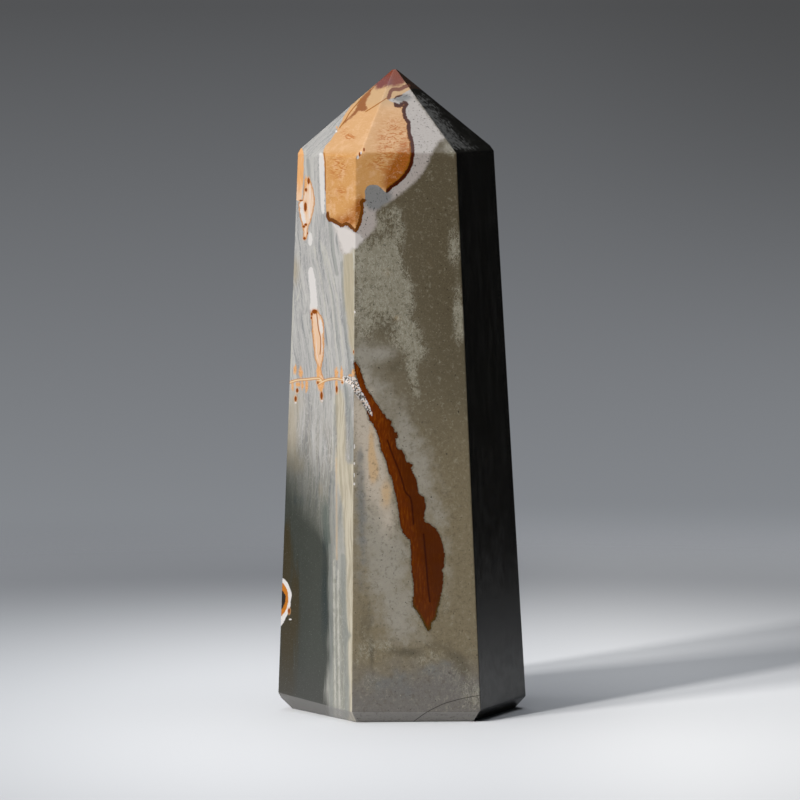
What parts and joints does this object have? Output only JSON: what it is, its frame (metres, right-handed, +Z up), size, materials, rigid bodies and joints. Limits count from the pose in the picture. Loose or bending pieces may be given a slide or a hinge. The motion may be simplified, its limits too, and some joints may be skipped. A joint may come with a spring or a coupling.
{
  "type": "polychrome jasper point",
  "caption": "Polished stone tower with tapering sides, a faceted blunt point and a bevelled flat foot, free-standing, for display.",
  "frame": {"origin": "on the flat foot, under the middle of the stone's outline", "axes": "+Z up along the stone to its tip, -Y the front face, +X to the right of the front"},
  "size_m": [0.0642, 0.0578, 0.165],
  "materials": {
    "polished_jasper": "polished jasper: grey-green and olive ground with slate and cream bands, tan and rust-brown patches"
  },
  "bodies": {
    "root": {"jasper_point": "polished_jasper"}
  },
  "joints": []
}
